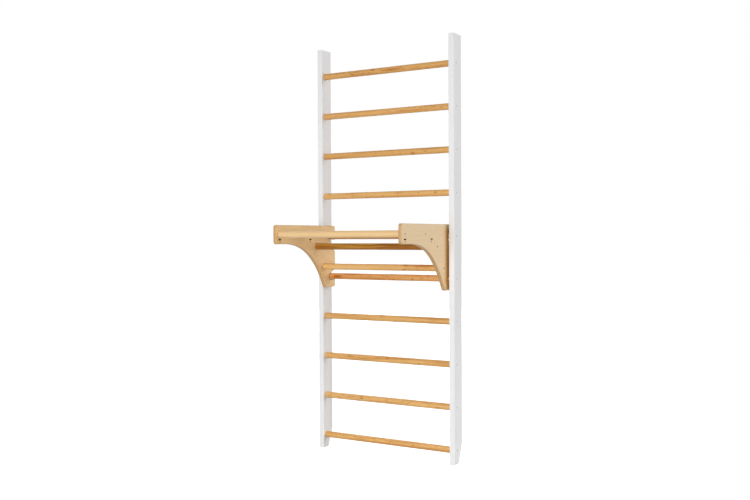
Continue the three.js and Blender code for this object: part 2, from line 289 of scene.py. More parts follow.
# Timber with X along the fibres and the pith on the X axis: growth rings from the distance to the pith,
# bent by slow noise and round a knot, then broad streaks, a long stain, fine fibres, short dark flecks
# and dashes, and small knots. Tone makes a piece deeper above 0 and paler below.
def makeTimberGrain():
    tree = bpy.data.node_groups.new("timberGrain", "ShaderNodeTree")
    vectors, colours = ("Grain", "Place", "Knot", "Stain"), ("Light", "Dark", "Deep", "Pale")
    values = ("Tone", "Knot Size", "Ring Width", "Ring Contrast", "Waviness", "Streak Contrast",
              "Fibre Contrast", "Fleck Amount", "Dash Amount", "Knot Amount")
    for kind, names in (("Vector", vectors), ("Color", colours), ("Float", values)):
        for name in names:
            tree.interface.new_socket(name, in_out="INPUT", socket_type="NodeSocket" + kind)
    for name, kind in (("Colour", "Color"), ("Height", "Float"), ("Roughness", "Float")):
        tree.interface.new_socket(name, in_out="OUTPUT", socket_type="NodeSocket" + kind)
    given = addNode(tree, "NodeGroupInput").outputs
    grain = given["Grain"]
    slow = stretchedNoise(tree, grain, timber["slowNoise"])
    broad = stretchedNoise(tree, grain, timber["broadNoise"], detail=1.0)
    fibre = stretchedNoise(tree, grain, timber["fibreNoise"], detail=3.0, roughness=0.6)
    fleckNoise = stretchedNoise(tree, grain, timber["fleckNoise"], detail=1.0)
    patch = stretchedNoise(tree, grain, timber["patchNoise"])
    knotNoise = stretchedNoise(tree, grain, timber["knotNoise"], detail=1.0)
    dashNoise = stretchedNoise(tree, grain, timber["dashNoise"], detail=1.0)

    # distance to a mark in its own half lengths
    def markReach(name, halves):
        offset = vectorCalc(tree, "SUBTRACT", given["Place"], given[name])[0]
        scaled = vectorCalc(tree, "DIVIDE", offset, halves)[0]
        return vectorCalc(tree, "LENGTH", scaled)["Value"]

    # a given amount that fades between two limits, up or down
    def fade(value, limits, amount, ends=(0.0, 1.0)):
        return calc(tree, "MULTIPLY", softStep(tree, value, *timber[limits], *ends), given[amount])

    falling = (1.0, 0.0)
    away = calc(tree, "DIVIDE", markReach("Knot", timber["knotHalf"]), given["Knot Size"])
    ragged = calc(tree, "MULTIPLY_ADD", patch, timber["knotRagged"], away)
    core = fade(ragged, "coreFade", "Knot Amount", falling)
    halo = fade(ragged, "haloFade", "Knot Amount", falling)
    beside = markReach("Stain", timber["stainHalf"])
    along = calc(tree, "MULTIPLY_ADD", patch, timber["stainRagged"], beside)
    stain = fade(along, "stainFade", "Knot Amount", falling)

    apart = addNode(tree, "ShaderNodeSeparateXYZ", {0: grain}).outputs
    square = calc(tree, "MULTIPLY_ADD", apart[1], apart[1], calc(tree, "MULTIPLY", apart[2], apart[2]))
    broadBend = calc(tree, "MULTIPLY", broad, timber["broadBend"])
    bend = calc(tree, "ADD", calc(tree, "SUBTRACT", slow, 0.5), broadBend)
    wavy = calc(tree, "MULTIPLY_ADD", bend, given["Waviness"], calc(tree, "SQRT", square))
    radius = calc(tree, "MULTIPLY_ADD", halo, timber["knotBend"], wavy)
    year = calc(tree, "FRACT", calc(tree, "DIVIDE", radius, given["Ring Width"]))
    lateRise = calc(tree, "POWER", year, timber["lateRise"])
    late = calc(tree, "MULTIPLY", lateRise, softStep(tree, year, timber["lateEnd"], 1.0, *falling))
    deeper = calc(tree, "MAXIMUM", given["Tone"])
    paler = calc(tree, "MAXIMUM", calc(tree, "MULTIPLY", given["Tone"], -1.0))
    contrast = calc(tree, "MULTIPLY_ADD", deeper, timber["deepRing"], given["Ring Contrast"])
    ring = calc(tree, "MULTIPLY", late, contrast)
    lines = calc(tree, "MULTIPLY", calc(tree, "SUBTRACT", fibre, 0.5), given["Fibre Contrast"])
    streak = fade(patch, "streakFade", "Streak Contrast")
    marks = calc(tree, "ADD", stain, calc(tree, "MULTIPLY_ADD", halo, timber["haloShade"], streak))
    shade = calc(tree, "ADD", calc(tree, "ADD", ring, lines), marks)
    clear = calc(tree, "MINIMUM", calc(tree, "MAXIMUM", shade, 0.0), 1.0)
    plain = blendColour(tree, clear, given["Light"], given["Dark"])
    darkened = blendColour(tree, deeper, plain, given["Deep"], "MULTIPLY")
    toned = blendColour(tree, paler, darkened, given["Pale"])
    fleck = fade(fleckNoise, "fleckFade", "Fleck Amount")
    dash = fade(dashNoise, "dashFade", "Dash Amount")
    patchy = calc(tree, "MULTIPLY", dash, softStep(tree, slow, *timber["dashArea"]))
    small = fade(knotNoise, "smallFade", "Knot Amount")
    knots = calc(tree, "MULTIPLY", calc(tree, "MAXIMUM", small, core), timber["knotShade"])
    mark = calc(tree, "MAXIMUM", calc(tree, "MAXIMUM", fleck, patchy), knots)
    burnt = blendColour(tree, 1.0, given["Dark"], timber["burnt"], "MULTIPLY")
    colour = blendColour(tree, mark, toned, burnt)
    raised = calc(tree, "MULTIPLY_ADD", fibre, timber["fibreHeight"], ring)
    height = calc(tree, "SUBTRACT", raised, fleck)
    markRough = calc(tree, "MULTIPLY_ADD", mark, timber["markRough"], timber["plainRough"])
    rough = calc(tree, "MULTIPLY_ADD", fibre, timber["fibreRough"], markRough)
    addNode(tree, "NodeGroupOutput", {"Colour": colour, "Height": height, "Roughness": rough})
    return tree


timberGrain = makeTimberGrain()


def pieceField(tree, name, output):
    return addNode(tree, "ShaderNodeAttribute", attribute_name=name).outputs[output]


# Timber material: the shared grain group with a finish of its own
def timberShader(name, finish):
    material, tree, shader = newMaterial(name)
    shader.inputs["Specular IOR Level"].default_value = timber["specular"]
    sockets = {
        "Grain": pieceField(tree, "grain", "Vector"), "Knot": pieceField(tree, "knot", "Vector"),
        "Stain": pieceField(tree, "stain", "Vector"), "Knot Size": pieceField(tree, "knotSize", "Fac"),
        "Tone": pieceField(tree, "tone", "Fac"),
        "Place": addNode(tree, "ShaderNodeTexCoord").outputs["Object"]}
    group = addNode(tree, "ShaderNodeGroup", node_tree=timberGrain)
    for socket, value in sockets.items():
        tree.links.new(value, group.inputs[socket])
    for socket, value in finish.items():
        group.inputs[socket].default_value = value
    tree.links.new(group.outputs["Roughness"], shader.inputs["Roughness"])
    addBump(tree, shader, group.outputs["Height"], *timber["bump"])
    return material, tree, shader, group


pineFinish = {
    "Light": (0.785, 0.455, 0.16, 1), "Dark": (0.53, 0.212, 0.042, 1), "Deep": (0.66, 0.52, 0.17, 1),
    "Pale": (0.88, 0.60, 0.27, 1), "Ring Width": 0.0046, "Ring Contrast": 0.5, "Waviness": 0.010,
    "Streak Contrast": 0.5, "Fibre Contrast": 0.5, "Fleck Amount": 0.18, "Dash Amount": 0.7,
    "Knot Amount": 0.8,
}
redPineFinish = {
    **pineFinish, "Light": (0.79, 0.41, 0.14, 1), "Dark": (0.52, 0.18, 0.035, 1), "Dash Amount": 1.0,
    "Knot Amount": 1.0,
}
darkPineAndShadeFinish = {  # heartwood, darker still as painted shade: its late wood and stain are lighter than its ground
    **pineFinish, "Light": (0.255, 0.075, 0.0, 1), "Dark": (0.585, 0.29, 0.035, 1), "Ring Width": 0.009,
    "Ring Contrast": 0.6, "Waviness": 0.03, "Streak Contrast": 0.7,
}
barFinish = {
    "Light": (0.795, 0.553, 0.281, 1), "Dark": (0.71, 0.41, 0.15, 1), "Deep": (0.9, 0.8, 0.6, 1),
    "Pale": (0.88, 0.66, 0.4, 1), "Ring Width": 0.0055, "Ring Contrast": 0.3, "Waviness": 0.010,
    "Streak Contrast": 0.25, "Fibre Contrast": 0.4, "Fleck Amount": 0.15, "Knot Amount": 0.0,
}
veneerFinish = {  # pale stands for the painted shade on the walls of the slots, the hook and the notch
    "Light": (0.89, 0.685, 0.435, 1), "Dark": (0.76, 0.515, 0.27, 1), "Deep": (1.06, 0.95, 0.73, 1),
    "Pale": (0.12, 0.065, 0.025, 1), "Ring Width": 0.016, "Ring Contrast": 0.3, "Waviness": 0.12,
    "Streak Contrast": 0.12, "Fibre Contrast": 0.4, "Fleck Amount": 0.12, "Knot Amount": 0.0,
}


def roundTimber(name, finish):
    material, tree, shader, group = timberShader(name, finish)
    tree.links.new(group.outputs["Colour"], shader.inputs["Base Color"])
    return material


pinePaint = roundTimber("rungPine", pineFinish)
redPinePaint = roundTimber("rungRedPine", redPineFinish)
# Dark heartwood with painted shade, for the rear upper bar
darkPineAndShadePaint = roundTimber("barDarkPine", darkPineAndShadeFinish)
barPaint = roundTimber("barWood", barFinish)

# The band beside the upright with its fades is painted shade, and the far and near edge colours are
# painted shade and light
plywood = dict(  # faceDepth, glueDepth and glueLine are in layers
    layer=0.0014, faceDepth=0.2, glueDepth=0.6, glueLine=0.09, longShade=(0.75, 0.66, 0.54, 1),
    crossShade=(0.59, 0.485, 0.37, 1), glueShade=(0.5, 0.4, 0.3, 1), farEdgeShade=(0.88, 0.86, 0.84, 1),
    nearEdgeLight=(1.07, 1.12, 1.2, 1), rearFade=(-0.035, 0.003), topFade=0.034, footFade=0.040,
    shadeBesideUpright=(0.97, 0.77, 0.45, 1))


# Plywood: veneer on the faces, with a painted shade band on the outer face beside the upright, where
# the upright shades it, except at its top and foot. Across the thickness it has layers of alternate
# shade with thin glue lines, with painted light and shade that makes them darker towards -X and paler
# towards +X.
def makePlywood(low, high, uprightFront):
    material, tree, shader, group = timberShader("platePlywood", veneerFinish)
    thickness = high.x - low.x
    place = addNode(tree, "ShaderNodeTexCoord").outputs["Object"]
    places = addNode(tree, "ShaderNodeSeparateXYZ", {0: place}).outputs
    # Painted shade: a warm darker band on the outer face beside the upright, fading out at the top and
    # foot
    fadeStart, fadeEnd = plywood["rearFade"]
    beside = softStep(tree, places[1], uprightFront + fadeStart, uprightFront + fadeEnd)
    outer = softStep(tree, calc(tree, "ABSOLUTE", places[0]), low.x, high.x)
    below = softStep(tree, places[2], high.z - plywood["topFade"], high.z, 1.0, 0.0)
    above = softStep(tree, places[2], low.z, low.z + plywood["footFade"])
    level = calc(tree, "MULTIPLY", below, above)
    paintedShadeBand = calc(tree, "MULTIPLY", level, calc(tree, "MULTIPLY", beside, outer))
    veneer = blendColour(tree, paintedShadeBand, group.outputs["Colour"], plywood["shadeBesideUpright"], "MULTIPLY")
    across = addNode(tree, "ShaderNodeSeparateXYZ", {0: pieceField(tree, "grain", "Vector")}).outputs[2]
    depth = calc(tree, "SUBTRACT", thickness / 2, calc(tree, "ABSOLUTE", across))
    layers = calc(tree, "DIVIDE", depth, plywood["layer"])
    cross = calc(tree, "GREATER_THAN", calc(tree, "FRACT", calc(tree, "MULTIPLY", layers, 0.5)), 0.5)
    inner = calc(tree, "GREATER_THAN", layers, plywood["faceDepth"])
    line = calc(tree, "ABSOLUTE", calc(tree, "SUBTRACT", calc(tree, "FRACT", layers), 0.5))
    glue = calc(tree, "MULTIPLY", calc(tree, "GREATER_THAN", line, 0.5 - plywood["glueLine"] / 2),
                calc(tree, "GREATER_THAN", layers, plywood["glueDepth"]))
    # Painted light and shade on the edges: darker towards -X and paler towards +X, where the rounded
    # edge catches the light
    paler = softStep(tree, across, -thickness / 2, thickness / 2)
    edgeLightAndShade = blendColour(tree, paler, plywood["farEdgeShade"], plywood["nearEdgeLight"])
    bands = blendColour(tree, cross, plywood["longShade"], plywood["crossShade"])
    shade = blendColour(tree, 1.0, bands, edgeLightAndShade, "MULTIPLY")
    banded = blendColour(tree, inner, veneer, shade, "MULTIPLY")
    glued = blendColour(tree, glue, banded, plywood["glueShade"], "MULTIPLY")
    tree.links.new(glued, shader.inputs["Base Color"])
    return material


lacquer = dict(
    colour=(0.85, 0.85, 0.85, 1), shade=(0.825, 0.825, 0.83, 1), cloudNoise=(6, 6, 2.5),
    grainNoise=(240, 240, 5), peelNoise=(900, 900, 900), cloudShare=0.6, grainShare=0.4,
    shadeFade=(0.35, 0.7), roughness=(0.2, 0.42), peelShare=0.4, bump=(0.12, 0.0003))


# White satin lacquer: brushed-out unevenness, the timber's grain showing faintly through and
# fine orange peel
def makeLacquer():
    material, tree, shader = newMaterial("whiteLacquer")
    place = addNode(tree, "ShaderNodeTexCoord").outputs["Object"]
    cloud = stretchedNoise(tree, place, lacquer["cloudNoise"], detail=3.0)
    grain = stretchedNoise(tree, place, lacquer["grainNoise"], detail=3.0, roughness=0.6)
    peel = stretchedNoise(tree, place, lacquer["peelNoise"], detail=1.0)
    clouded = calc(tree, "MULTIPLY", cloud, lacquer["cloudShare"])
    uneven = calc(tree, "MULTIPLY_ADD", grain, lacquer["grainShare"], clouded)
    tone = softStep(tree, uneven, *lacquer["shadeFade"])
    colour = blendColour(tree, tone, lacquer["colour"], lacquer["shade"])
    tree.links.new(colour, shader.inputs["Base Color"])
    tree.links.new(calc(tree, "MULTIPLY_ADD", cloud, *lacquer["roughness"]), shader.inputs["Roughness"])
    height = calc(tree, "MULTIPLY_ADD", peel, lacquer["peelShare"], grain)
    addBump(tree, shader, height, *lacquer["bump"])
    return material


zincPlate = dict(
    blotchNoise=(500, 500, 500), turningNoise=(300, 2600, 2600), roughness=(0.25, 0.24), metallic=0.9,
    bump=(0.2, 0.0001))
brightZinc = dict(bright=(0.58, 0.57, 0.56, 1), dull=(0.37, 0.365, 0.36, 1))
yellowZinc = dict(bright=(0.42, 0.34, 0.235, 1), dull=(0.24, 0.19, 0.125, 1))


# Zinc plate: passivated blotches over fine turning marks
def makeZinc(name, zinc):
    material, tree, shader = newMaterial(name)
    place = addNode(tree, "ShaderNodeTexCoord").outputs["Object"]
    blotch = stretchedNoise(tree, place, zincPlate["blotchNoise"], detail=3.0)
    turning = stretchedNoise(tree, place, zincPlate["turningNoise"])
    tree.links.new(blendColour(tree, blotch, zinc["dull"], zinc["bright"]), shader.inputs["Base Color"])
    rough = calc(tree, "MULTIPLY_ADD", turning, *zincPlate["roughness"])
    tree.links.new(rough, shader.inputs["Roughness"])
    shader.inputs["Metallic"].default_value = zincPlate["metallic"]
    addBump(tree, shader, turning, *zincPlate["bump"])
    return material


lacquerPaint = makeLacquer()
zincPaint = makeZinc("screwZinc", brightZinc)
yellowZincPaint = makeZinc("screwYellowZinc", yellowZinc)
print("materials made")


# Fits and screws, in metres. rimEase is a share of the rim, wallDepth and wallWidth are shares of the
# recess where its walls end.
fits = dict(
    socket=0.0003, screw=0.0003, seat=0.0004, headSink=0.0004, mouthBreak=0.0005, pilotExtra=0.003)
screwShape = dict(tip=0.006, rim=0.0003, rimEase=0.3, wallDepth=0.6, wallWidth=0.8, quarterSteps=13)
rungScrew = dict(shank=0.0045, recess=0.0044, recessWidth=0.0012, recessDepth=0.0022)
barScrew = dict(shank=0.005, recess=0.005, recessWidth=0.0013, recessDepth=0.0024)


def axisOf(node):
    low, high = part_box(node)
    return (low.y + high.y) / 2, (low.z + high.z) / 2


def radiusOf(node):
    low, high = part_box(node)
    return (high.z - low.z) / 2


# Hole through a wall for a bar end and its screw: circles from the inner face, down the socket,
# through the screw hole and out by the countersink
def socketHole(bar, screwNode, screw, innerX, outerX, side, segments=48):
    seat = radiusOf(bar) + fits["socket"]
    bottomX = side * (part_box(bar)[1].x + fits["socket"])
    hole = screw["shank"] / 2 + fits["screw"]
    mouth = radiusOf(screwNode) + fits["screw"]
    sinkX = outerX - side * fits["headSink"]
    coneX = sinkX - side * (mouth - hole)
    broken = fits["mouthBreak"]
    profile = np.array((
        (innerX, seat + broken), (innerX + side * broken, seat), (bottomX, seat), (bottomX, hole),
        (coneX, hole), (sinkX, mouth), (outerX, mouth)))
    angle = np.linspace(0, 2 * np.pi, segments, endpoint=False)
    y, z = axisOf(bar)
    x, radius = profile[:, :1], profile[:, 1:]
    circles = np.broadcast_arrays(x, y + radius * np.cos(angle), z + radius * np.sin(angle))
    return np.stack(circles, axis=-1)[::side]


# Round bar with softened ends and a pilot hole in each: half the profile, then the same mirrored.
# Each end closes by e(1 - sin t) over a length of e(1 - cos t), t from 0 to 90 degrees.
def barSurface(node, screwNode, screw, endRadius=0.0012, endSteps=3):
    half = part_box(node)[1].x
    radius = radiusOf(node)
    pilot = screw["shank"] / 2 + fits["screw"]
    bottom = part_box(screwNode)[0].x - fits["pilotExtra"]
    turn = np.linspace(0, np.pi / 2, endSteps + 1)
    rounding = np.column_stack((
        half - endRadius * (1 - np.cos(turn)), radius - endRadius * (1 - np.sin(turn))))
    halfProfile = np.concatenate((rounding[::-1], [(half, pilot), (bottom, pilot), (bottom, 0)]))
    return turnedSurface(np.concatenate((halfProfile[::-1] * (-1, 1), halfProfile)), axisOf(node))


# Countersunk screw: loops from the tip to the head, then the cross of the recess, sinking to a pointed
# bottom. The cross's radius at an angle is the larger of its two arms' edges there.
def screwSurface(node, screw, side, tiny=1e-9):
    low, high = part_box(node)
    y, z = axisOf(node)
    headX, tipX = (high.x, low.x) if side > 0 else (low.x, high.x)
    head = radiusOf(node)
    shank = screw["shank"] / 2
    arm, width = screw["recess"] / 2, screw["recessWidth"] / 2
    corner = math.atan2(width, arm)
    even = np.linspace(-np.pi / 4, np.pi / 4, screwShape["quarterSteps"] + 1)[:-1]
    quarter = np.sort(np.concatenate((even, [-corner, corner])))
    angle = (quarter + np.arange(4)[:, None] * np.pi / 2).ravel()
    cos, sin = np.abs(np.cos(angle)) + tiny, np.abs(np.sin(angle)) + tiny
    cross = np.maximum(np.minimum(arm / cos, width / sin), np.minimum(arm / sin, width / cos))
    circle = np.ones_like(angle)
    rim = screwShape["rim"]
    eased = rim * screwShape["rimEase"]
    wallEnd = headX - side * screw["recessDepth"] * screwShape["wallDepth"]
    loops = (
        (tipX + side * screwShape["tip"], shank * circle),
        (headX - side * (head - shank), shank * circle),
        (headX - side * rim, head * circle),
        (headX - side * eased, (head - eased) * circle),
        (headX, (head - rim) * circle),
        (headX, cross),
        (wallEnd, cross * screwShape["wallWidth"]),
    )
    rows = np.stack([
        np.column_stack((np.full(len(angle), x), y + r * np.cos(angle), z + r * np.sin(angle)))
        for x, r in loops])
    poles = ((tipX, y, z), (headX - side * screw["recessDepth"], y, z))
    return loopSurface(rows[::side], *poles[::side])


# Where a bar was cut from its tree: where its fibres start, how far off and where the pith lies, and
# how the fibres slope, drawn from its own seed
def barGrain(node, points, seed, pith, startReach=40, slopeReach=0.02):
    draw = np.random.default_rng(seed)
    start, around = draw.uniform(0, startReach), draw.uniform(0, 2 * np.pi)
    away = draw.uniform(*pith)
    slope = draw.uniform(-slopeReach, slopeReach, 2)
    x, y, z = (points - (0, *axisOf(node))).T
    return np.column_stack((
        x + start,
        y + away * np.cos(around) + slope[0] * x,
        z + away * np.sin(around) + slope[1] * x))


# Place of a knot or stain: metres along its bar, and degrees round it from the front upwards
def markPlace(node, along, around):
    y, z = axisOf(node)
    radius, angle = radiusOf(node), math.radians(around)
    return along, y - radius * math.cos(angle), z + radius * math.sin(angle)


# Uprights
upright = dict(edgeRadius=0.004, endEase=0.001, skirtingHeight=0.107, skirtingDepth=0.043)
rungNodes = sorted(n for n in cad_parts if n.startswith("rung_") and "screw" not in n)


def rungScrewNode(rung, sideName):
    return rung.replace("rung", "rung_screw_" + sideName)


# Upright: a section with rounded corners carried up from the sawn foot to the sawn top. At each end
# the section moves in by e(1 - cos t) while it closes on the end by e(1 - sin t), t from 90 degrees
# at the end to 0. The foot's height at depth y is the higher of the floor and the skirting cut.
# The two flat sides are capped round the holes.
def uprightSurface(node, holes, arcStep=15, easeSteps=3):
    low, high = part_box(node)
    middle, half = (low.x + high.x) / 2, (high.x - low.x) / 2
    r, ease = upright["edgeRadius"], upright["endEase"]
    cutY = high.y - upright["skirtingDepth"]
    front = arcPoints((half - r, low.y + r), r, -90, 0, arcStep)
    rear = arcPoints((half - r, high.y - r), r, 0, 90, arcStep)
    side = np.concatenate((front, [(half, cutY)], rear))
    section = np.concatenate((side + (middle, 0), (side * (-1, 1) + (middle, 0))[::-1]))
    turn = np.linspace(np.pi / 2, 0, easeSteps + 1)
    loops = [insetOutline(section, ease * (1 - math.cos(t))) for t in turn]
    lift = ease * (1 - np.sin(turn))
    slope = upright["skirtingHeight"] / upright["skirtingDepth"]
    foot = [low.z + np.maximum(0, (loop[:, 1] - cutY) * slope) + up for loop, up in zip(loops, lift)]
    top = [np.full(len(loop), high.z - up) for loop, up in zip(loops, lift)]
    body = np.stack([np.column_stack(row) for row in zip(loops + loops[::-1], foot + top[::-1])])
    count, columns = body.shape[:2]
    wide = len(side)
    grids = [body] + holes
    points = np.concatenate([grid.reshape(-1, 3) for grid in grids])
    starts = np.cumsum([0] + [grid.shape[0] * grid.shape[1] for grid in grids])[:-1]
    quads = ringQuads(count, columns, 0).reshape(count - 1, columns, 4)
    # columns of each flat side: its two edges, with the cut's crease between
    flatColumns = len(front) + np.array((-1, 0, 1))
    flats = (flatColumns, 2 * wide - 1 - flatColumns)
    keep = np.ones((count - 1, columns), bool)
    for flat in flats:
        keep[easeSteps, flat.min():flat.max()] = False
    faces = quads[keep].tolist()
    for hole, start in zip(holes, starts[1:]):
        faces += ringQuads(*hole.shape[:2], start)[:, ::-1].tolist()
    bottomRow, topRow = easeSteps * columns, (easeSteps + 1) * columns
    for flat, facing in zip(flats, (1, -1)):
        edges = [np.concatenate((bottomRow + flat, (topRow + flat)[::-1]))]
        for hole, start in zip(holes, starts[1:]):
            lastRow = (hole.shape[0] - 1) * hole.shape[1]
            edges.append(start + (lastRow if facing > 0 else 0) + np.arange(hole.shape[1]))
        faces += capTriangles(points, edges, facing).tolist()
    across = np.arange(wide - 1)
    strip = np.column_stack((across, 2 * wide - 1 - across, 2 * wide - 2 - across, across + 1))
    faces += strip.tolist() + (strip[:, ::-1] + (count - 1) * columns).tolist()
    return points, faces


for sideName, side in sides.items():
    node = "upright_" + sideName
    low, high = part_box(node)
    innerX, outerX = (low.x, high.x)[::side]
    holes = [socketHole(rung, rungScrewNode(rung, sideName), rungScrew, innerX, outerX, side)
             for rung in rungNodes]
    addPiece(node, uprightSurface(node, holes), lacquerPaint, "ladder", "white_lacquer")
print("uprights made")


# Timber fields of a round bar: its grain, its knot and stain, and its tone between the two ends
def barFields(node, points, seed, wood, number):
    knot, stain = (markPlace(node, *marks[number]) for marks in (wood["knots"], wood["stains"]))
    vectors = dict(grain=barGrain(node, points, seed, wood["pith"]), knot=knot, stain=stain)
    tone = np.interp(points[:, 0], (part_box(node)[0].x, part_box(node)[1].x), wood["tones"][number])
    return vectors, dict(tone=tone, knotSize=wood["knotSizes"][number])


# Rungs and their screws, from the top rung down. Each tone is for the left end and the right end,
# each knot and stain is metres along the rung and degrees up from its front.
# The fifth rung's deep tone is painted shade, where the front bars shade it
rungWood = dict(
    seed=300, pith=(0.012, 0.05), redRung="rung_06",
    tones=((0.2, 0.2), (0.08, 0.0), (0.22, 0.14), (-0.08, 0.04), (0.5, 0.5), (0.1, 0.04), (-0.08, 0.05),
           (-0.08, 0.08), (-0.18, -0.02), (0.04, -0.06)),
    knots=((-0.07, 30), (0.29, 100), (0.17, -30), (-0.2, 60), (0.05, 20), (-0.305, -5), (-0.02, 55),
           (0.2, 70), (0.1, -60), (0.3, 60)),
    knotSizes=(0.6, 0.5, 0.6, 0.5, 0.7, 1.0, 0.6, 0.5, 0.5, 0.4),
    stains=((0.045, -6), (-0.3, 150), (-0.26, 200), (0.24, 190), (-0.2, 60), (-0.21, 60), (-0.33, 120),
            (-0.1, 170), (-0.28, 120), (-0.16, 230)))

for number, rung in enumerate(rungNodes):
    surface = barSurface(rung, rungScrewNode(rung, "right"), rungScrew)
    fields = barFields(rung, surface[0], rungWood["seed"] + number, rungWood, number)
    paint = redPinePaint if rung == rungWood["redRung"] else pinePaint
    addPiece(rung, surface, paint, "ladder", "rung_pine", *fields)
    for sideName, side in sides.items():
        node = rungScrewNode(rung, sideName)
        addPiece(node, screwSurface(node, rungScrew, side), zincPaint, "ladder", "screw_zinc")
print("rungs made:", len(rungNodes))


# Side plates of the bar unit, drawn from the axis of the rung that they hook onto. Each tone is for the
# foot and
# the top, and is painted light and shade: the left plate's deep warm tone stands for warm bounced
# light.
plate = dict(
    edgeRadius=0.004, armDrop=0.040, armCorner=0.014, hookAngle=54, hookTip=0.0045, mouthCorner=0.014,
    notchFlare=22.5, notchCorner=0.006, footFront=0.051, footCorner=0.012, sweepStart=0.079,
    sweepArmPull=0.190, sweepFootPull=0.165, sweepFootAngle=60.5, sweepSteps=48, rimSteps=6,
    # The seat and wall tones here are painted shade round the rungs and on the slot walls
    tones=dict(left=(0.65, 0.9), right=(0.45, 0.1)), seatShadeTone=-0.6, wallShadeTone=-1, grainShift=5,
    pithHeight=0.9)
# The last ring and the rows marked True carry painted shade on the walls of the slots and holes
slots = dict(
    length=0.021, height=0.0055, drop=0.026, spacing=0.271, hole=0.005, holeDrop=0.012, holeSink=0.0011,
    shadeRing=0.0004, arcStep=10, shadedRows=(False, True, True, True, True, False))
hookAxis = axisOf("rung_05")
lowerAxis = axisOf("rung_06")
barNodes = ("front_bar", "middle_bar", "rear_upper_bar", "rear_lower_bar")


# Outline of a plate from the arm's upper front corner, along the underside to the foot, and up the rear
# edge past the notch and the hook slot
def plateOutline(node):
    low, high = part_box(node)
    y, z = hookAxis
    seat = radiusOf("rung_05") + fits["seat"]
    rear = high.y - y
    hook, flare = math.radians(plate["hookAngle"]), math.radians(plate["notchFlare"])
    # where each slanted side of the notch and the hook slot would meet the rear edge
    notchTop = lowerAxis[1] + seat / math.cos(flare) + rear * math.tan(flare)
    mouthBottom = z - seat / math.cos(hook) - rear * math.tan(hook)
    hookTip = z + seat / math.cos(hook) - rear * math.tan(hook)
    # curve from the arm's level underside down to where the foot's front corner starts
    foot = math.radians(plate["sweepFootAngle"])
    direction = np.array((math.cos(foot), -math.sin(foot)))
    underside = z - plate["armDrop"]
    start = np.array((low.y + plate["sweepStart"], underside))
    footCorner = np.array((y - plate["footFront"], low.z))
    end = footCorner - direction * plate["footCorner"] * math.tan(foot / 2)
    startPull = start + (plate["sweepArmPull"], 0)
    endPull = end - direction * plate["sweepFootPull"]
    return np.concatenate((
        cornerArc((low.y, high.z), 180, 270, plate["armCorner"]),
        cornerArc((low.y, underside), -90, 0, plate["armCorner"]),
        cubicCurve(start, startPull, endPull, end, plate["sweepSteps"]),
        cornerArc(footCorner, -plate["sweepFootAngle"], 0, plate["footCorner"]),
        cornerArc((high.y, low.z), 0, 90, plate["footCorner"]),
        cornerArc((high.y, lowerAxis[1] - seat), 90, 180, plate["notchCorner"]),
        arcPoints(lowerAxis, seat, 270, 90 + plate["notchFlare"]),
        cornerArc((high.y, notchTop), plate["notchFlare"], 90, plate["notchCorner"]),
        cornerArc((high.y, mouthBottom), 90, 180 - plate["hookAngle"], plate["mouthCorner"]),
        arcPoints(hookAxis, seat, 270 - plate["hookAngle"], 90 - plate["hookAngle"]),
        cornerArc((high.y, hookTip), -plate["hookAngle"], 90, plate["hookTip"]),
        cornerArc((high.y, high.z), 90, 180, plate["armCorner"]),
    ))


# Plain hole through a plate with its mouths broken: the outline, wider at both faces, and on each face
# a narrow ring where the painted shade on its walls ends
def throughHole(outline, lowX, highX, broken):
    wide = insetOutline(outline, -broken)
    ring = insetOutline(wide, -slots["shadeRing"])
    rows = ((ring, lowX), (wide, lowX), (outline, lowX + broken),
            (outline, highX - broken), (wide, highX), (ring, highX))
    return np.stack([loopAt(loop, x) for loop, x in rows])


# Two small slots through a plate, with a round hole under each
def slotHoles(lowX, highX):
    y, z = axisOf("front_bar")
    radius = slots["height"] / 2
    reach = slots["length"] / 2 - radius
    step = slots["arcStep"]
    made = []
    for slotY in (y, y + slots["spacing"]):
        slotZ = z - slots["drop"]
        slot = np.concatenate((
            arcPoints((slotY + reach, slotZ), radius, -90, 90, step),
            arcPoints((slotY - reach, slotZ), radius, 90, 270, step)))
        hole = arcPoints((slotY, slotZ - slots["holeDrop"]), slots["hole"] / 2, 0, 360 - step, step)
        made += [throughHole(slot, lowX, highX, fits["mouthBreak"]),
                 throughHole(hole, lowX, highX, slots["holeSink"])]
    return made


# Timber fields of a plate: its grain runs along Y, then up from the height of the pith, then across
# the plate. The tone runs from the plate's foot to its top, as painted light and shade. It carries
# painted shade, darkest on the walls of the slots and holes, whose points come last, and dark too on
# the part of the rim, whose points come first, that lies in the hook and the notch round the rungs.
def plateFields(points, outline, low, high, side, footTop, slotGrids):
    x, y, z = points.T
    middle = (low.x + high.x) / 2
    grain = np.column_stack((y + plate["grainShift"] * side, z - plate["pithHeight"], x - middle))
    tones = np.interp(z, (low.z, high.z), footTop)
    # Painted shade on the walls of the slots and holes
    shadedWalls = np.concatenate([np.repeat(slots["shadedRows"], grid.shape[1]) for grid in slotGrids])
    tones[-len(shadedWalls):][shadedWalls] = plate["wallShadeTone"]
    # Painted shade on the rim in the hook and the notch, round the rungs
    reach = radiusOf("rung_05") + 2 * fits["seat"]
    rimY, rimZ = outline.T
    cut = (rimY > hookAxis[0] - reach) & (rimY < high.y - fits["seat"])
    cut &= (rimZ > lowerAxis[1] - reach) & (rimZ < hookAxis[1] + reach)
    rimRows = 2 * (plate["rimSteps"] + 2)
    rim = tones[:rimRows * len(outline)].reshape(rimRows, len(outline))
    rim[1:-1, cut] = plate["seatShadeTone"]
    return dict(grain=grain), dict(tone=tones, knotSize=1.0)


